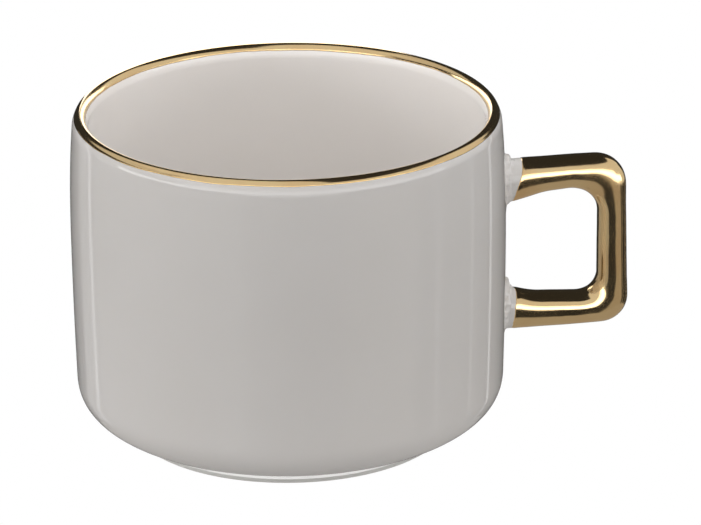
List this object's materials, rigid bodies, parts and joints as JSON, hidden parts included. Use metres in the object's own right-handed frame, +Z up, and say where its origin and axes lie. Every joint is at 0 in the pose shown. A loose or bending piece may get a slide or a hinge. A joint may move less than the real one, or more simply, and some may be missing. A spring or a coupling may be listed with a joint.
{
  "type": "teacup",
  "caption": "Low straight-sided porcelain teacup with a square loop handle, a foot ring, and gilding on its lip and handle.",
  "frame": {"origin": "centre of the foot ring's resting circle, on the surface that the cup stands on", "axes": "+Z up along the cup's axis, +X out through the middle of the handle, +Y completes a right-handed frame"},
  "size_m": [0.1154, 0.089, 0.0684],
  "materials": {
    "porcelain": "biscuit porcelain, matt",
    "foot_porcelain": "glazed side, bare ground wear face",
    "handle_porcelain": "white glaze, gloss",
    "slip": "luting slip under white glaze, gloss, slightly lumpy",
    "glaze": "warm white glaze, gloss",
    "rim_gold": "fired bright gold, polished",
    "handle_gold": "fired bright gold, polished"
  },
  "bodies": {
    "root": {"cup_body": "porcelain", "foot_ring": "foot_porcelain", "handle": "handle_porcelain", "upper_joint": "slip", "lower_joint": "slip", "glaze_coat": "glaze", "recess_glaze": "glaze", "rim_gilding": "rim_gold", "handle_gilding": "handle_gold"}
  },
  "joints": []
}
